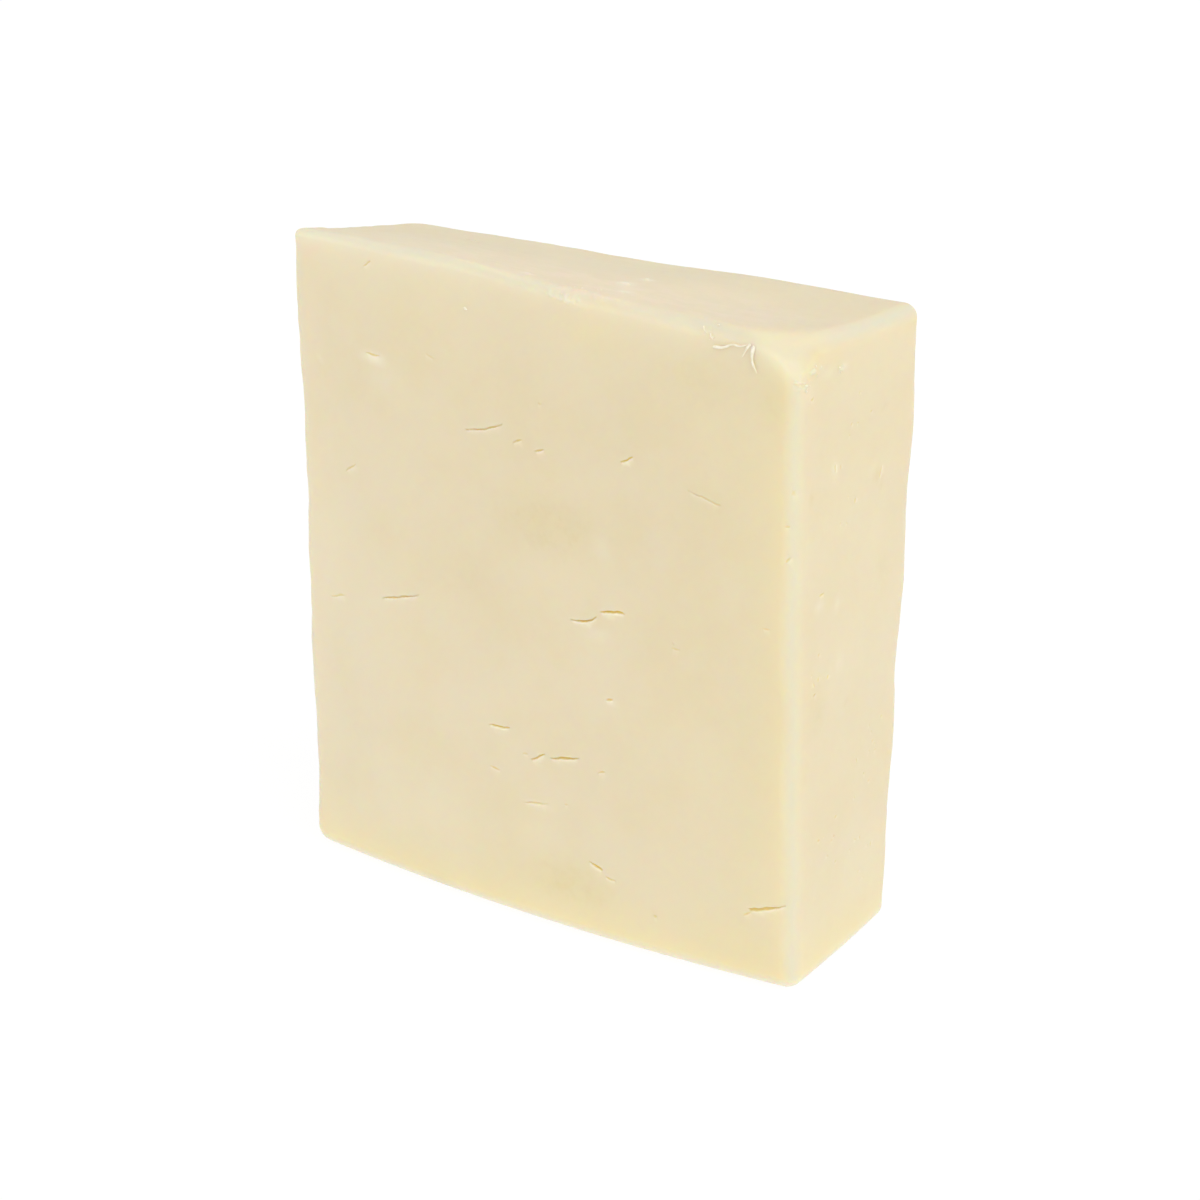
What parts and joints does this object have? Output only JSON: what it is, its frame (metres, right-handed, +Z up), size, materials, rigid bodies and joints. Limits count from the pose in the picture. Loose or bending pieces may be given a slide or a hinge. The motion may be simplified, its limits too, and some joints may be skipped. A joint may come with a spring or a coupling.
{
  "type": "cheddar block",
  "caption": "Cut slab of pale cheddar standing on a narrow side, with soft rounded edges, a pressed corner and fine cracks between the curds.",
  "frame": {"origin": "centre of the block's outline, on the flat base that it stands on", "axes": "+Z up along the height, +X to the right along the broad front face, which looks towards -Y"},
  "size_m": [0.0926, 0.0346, 0.103],
  "materials": {
    "cheese": "soft satin, slightly translucent pale cream cheese, yellower at the edges and inside the cracks"
  },
  "bodies": {
    "root": {"cheddar_block": "cheese"}
  },
  "joints": []
}
